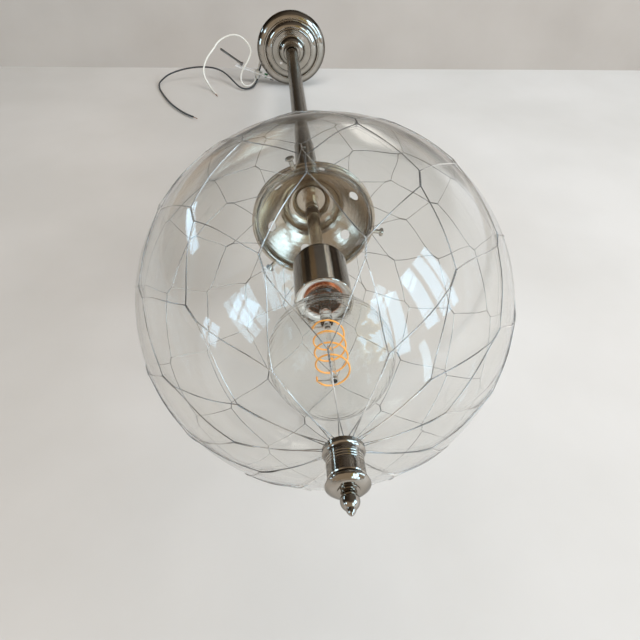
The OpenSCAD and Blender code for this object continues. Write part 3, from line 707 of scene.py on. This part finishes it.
class Room(Shading):
    """The room round the light, painted by direction on the world."""

    # How uneven the bands round the stem are, and how finely
    WOBBLE = 0.05
    WOBBLE_SCALE, WOBBLE_DETAIL = 3, 2
    # Size of the leaves and clouds outside the windows
    VIEW_SCALE, VIEW_DETAIL = 7, 5

    def __init__(self):
        world = bpy.data.worlds.new("world")
        world.use_nodes = True
        scene.world = world
        super().__init__(world.node_tree, "Generated")

    def around(self):
        """Where the direction lies round the stem, from 0 to 1 and a little uneven."""
        turn = self.node("ShaderNodeTexGradient", {"Vector": self.place}, gradient_type="RADIAL")
        clouds = self.clouds(self.place, self.WOBBLE_SCALE, self.WOBBLE_DETAIL)
        drift = self.maths("MULTIPLY", self.maths("SUBTRACT", clouds, 0.5), self.WOBBLE)
        return self.maths("ADD", turn.outputs["Fac"], drift)

    def window(self, middle, up, width, height, posts, view, lean=0.0):
        """A window seen from inside: how much of each direction it fills, and what it shows.
        With a lean its view runs from the first colours on one side to the last on the other."""
        middle = Vector(middle).normalized()
        across = middle.cross(Vector(up)).normalized()
        rise = across.cross(middle)
        # Where the direction meets the window's plane, to the side and up
        ahead = self.dot(middle)
        x = self.maths("DIVIDE", self.dot(across), ahead)
        y = self.maths("DIVIDE", self.dot(rise), ahead)
        limits = [self.maths("LESS_THAN", self.maths("ABSOLUTE", x), width),
                  self.maths("LESS_THAN", self.maths("ABSOLUTE", y), height),
                  self.maths("GREATER_THAN", ahead, 0.0)]
        for place, half in posts:
            off = self.maths("ABSOLUTE", self.maths("SUBTRACT", x, place))
            limits.append(self.maths("GREATER_THAN", off, half))
        inside = limits[0]
        for limit in limits[1:]:
            inside = self.maths("MULTIPLY", inside, limit)
        spot = self.node("ShaderNodeCombineXYZ", {0: x, 1: y}).outputs[0]
        seen = self.maths("ADD", self.clouds(spot, self.VIEW_SCALE, self.VIEW_DETAIL),
                          self.maths("MULTIPLY", x, lean))
        return inside, self.ramp(seen, view)


# What the metal mirrors. Directions go from -1 to 1 on each axis, and each zone is the stretch
# over which one thing gives way to the next.
FRONT_ZONE = (-0.80, -0.62)
FRONT_NEAR = (0.12, 0.095, 0.07)
FRONT_FAR = (0.42, 0.34, 0.25)
# Bands by direction round the stem: to the side of it, and high up
SIDE_ZONE = (-0.6, -0.2)
SIDE_BANDS = [
    (0.00, (0.10, 0.085, 0.07)), (0.10, (0.035, 0.028, 0.02)), (0.20, (0.06, 0.047, 0.034)),
    (0.26, (0.12, 0.10, 0.08)), (0.38, (0.17, 0.16, 0.145)), (0.42, (0.09, 0.085, 0.08)),
    (0.445, (0.85, 0.88, 0.9)), (0.50, (0.95, 0.97, 1.0)), (0.52, (0.10, 0.09, 0.08)),
    (0.60, (0.3, 0.28, 0.26)), (0.90, (0.3, 0.28, 0.26)), (1.0, (0.10, 0.085, 0.07))]
HIGH_ZONE = (0.70, 0.78)
HIGH_BANDS = [
    (0.00, (0.30, 0.21, 0.12)), (0.06, (0.22, 0.15, 0.08)), (0.075, (0.04, 0.03, 0.02)),
    (0.12, (0.045, 0.035, 0.025)), (0.135, (0.34, 0.23, 0.12)), (0.18, (0.30, 0.21, 0.12)),
    (0.20, (0.20, 0.18, 0.16)), (0.31, (0.26, 0.25, 0.23)), (0.325, (1.7, 1.66, 1.55)),
    (0.37, (1.5, 1.45, 1.35)), (0.385, (0.06, 0.055, 0.05)), (0.43, (0.16, 0.11, 0.065)),
    (0.47, (0.05, 0.045, 0.04)), (0.56, (0.25, 0.22, 0.19)), (0.95, (0.30, 0.26, 0.21)),
    (1.0, (0.30, 0.21, 0.12))]
# Straight up, with a dark and a light half
TOP_ZONE = (0.915, 0.95)
TOP_HALVES = (-0.25, 0.35)
TOP_DARK = (0.05, 0.038, 0.028)
TOP_LIGHT = (0.30, 0.28, 0.25)
# What shows through the windows, from dark leaves to bright sky
GARDEN = [(0.0, (0.12, 0.11, 0.05)), (0.38, (0.5, 0.4, 0.12)), (0.42, (1.5, 1.15, 0.35)),
          (0.46, (2.4, 3.6, 4.5)), (1.0, (2.8, 4.0, 4.9))]
SKY = [(0.0, (0.3, 0.35, 0.42)), (0.30, (0.9, 1.1, 1.3)), (0.36, (2.4, 3.6, 4.6)),
       (0.6, (2.8, 4.0, 5.0)), (1.0, (4.0, 4.6, 5.0))]
# Each window's width and height are halves of them, and so are its posts' widths
WINDOWS = [
    dict(middle=(0.45, -0.30, -0.84), up=(0, -1, 0), width=0.25, height=0.30,
         posts=[(-0.10, 0.012)], view=GARDEN, lean=-0.9),
    dict(middle=(0.84, -0.38, -0.38), up=(0, -1, 0), width=0.22, height=0.28,
         posts=[(0.04, 0.025), (-0.12, 0.012)], view=SKY),
    dict(middle=(-0.74, -0.37, -0.55), up=(0, -1, 0), width=0.12, height=0.12,
         posts=[(0.03, 0.015)], view=SKY),
    dict(middle=(-0.93, 0.0, -0.36), up=(0, -1, 0), width=0.09, height=0.13,
         posts=[(0.02, 0.014)], view=SKY),
    dict(middle=(-0.84, -0.34, 0.42), up=(0, 0, 1), width=0.05, height=0.24,
         posts=[(0.06, 0.014)], view=SKY)]
BACKDROP = (0.70, 0.68, 0.655)
BACKDROP_ZONE = (-0.1, 0.3)


def make_room():
    room = Room()
    height, depth, around = room.axis("Z"), room.axis("Y"), room.around()
    colour = room.layer(room.zone(depth, *FRONT_ZONE), FRONT_NEAR, FRONT_FAR)
    colour = room.layer(room.zone(height, *SIDE_ZONE), colour, room.ramp(around, SIDE_BANDS))
    colour = room.layer(room.zone(height, *HIGH_ZONE), colour, room.ramp(around, HIGH_BANDS))
    top = room.layer(room.zone(room.axis("X"), *TOP_HALVES), TOP_DARK, TOP_LIGHT)
    colour = room.layer(room.zone(height, *TOP_ZONE), colour, top)
    for window in WINDOWS:
        inside, seen = room.window(**window)
        colour = room.layer(inside, colour, seen)
    # Straight, through glass and mirrored towards the back, there is a plain pale backdrop
    path = room.node("ShaderNodeLightPath").outputs
    unmirrored = room.maths("LESS_THAN", path["Glossy Depth"], 0.5)
    through = room.maths("MULTIPLY", path["Is Transmission Ray"], unmirrored)
    behind = room.maths("MULTIPLY", path["Is Glossy Ray"], room.zone(depth, *BACKDROP_ZONE))
    share = room.maths("MAXIMUM", room.maths("MAXIMUM", path["Is Camera Ray"], through), behind)
    colour = room.layer(share, colour, BACKDROP)
    room.join(colour, room.tree.nodes["Background"].inputs["Color"])


make_room()
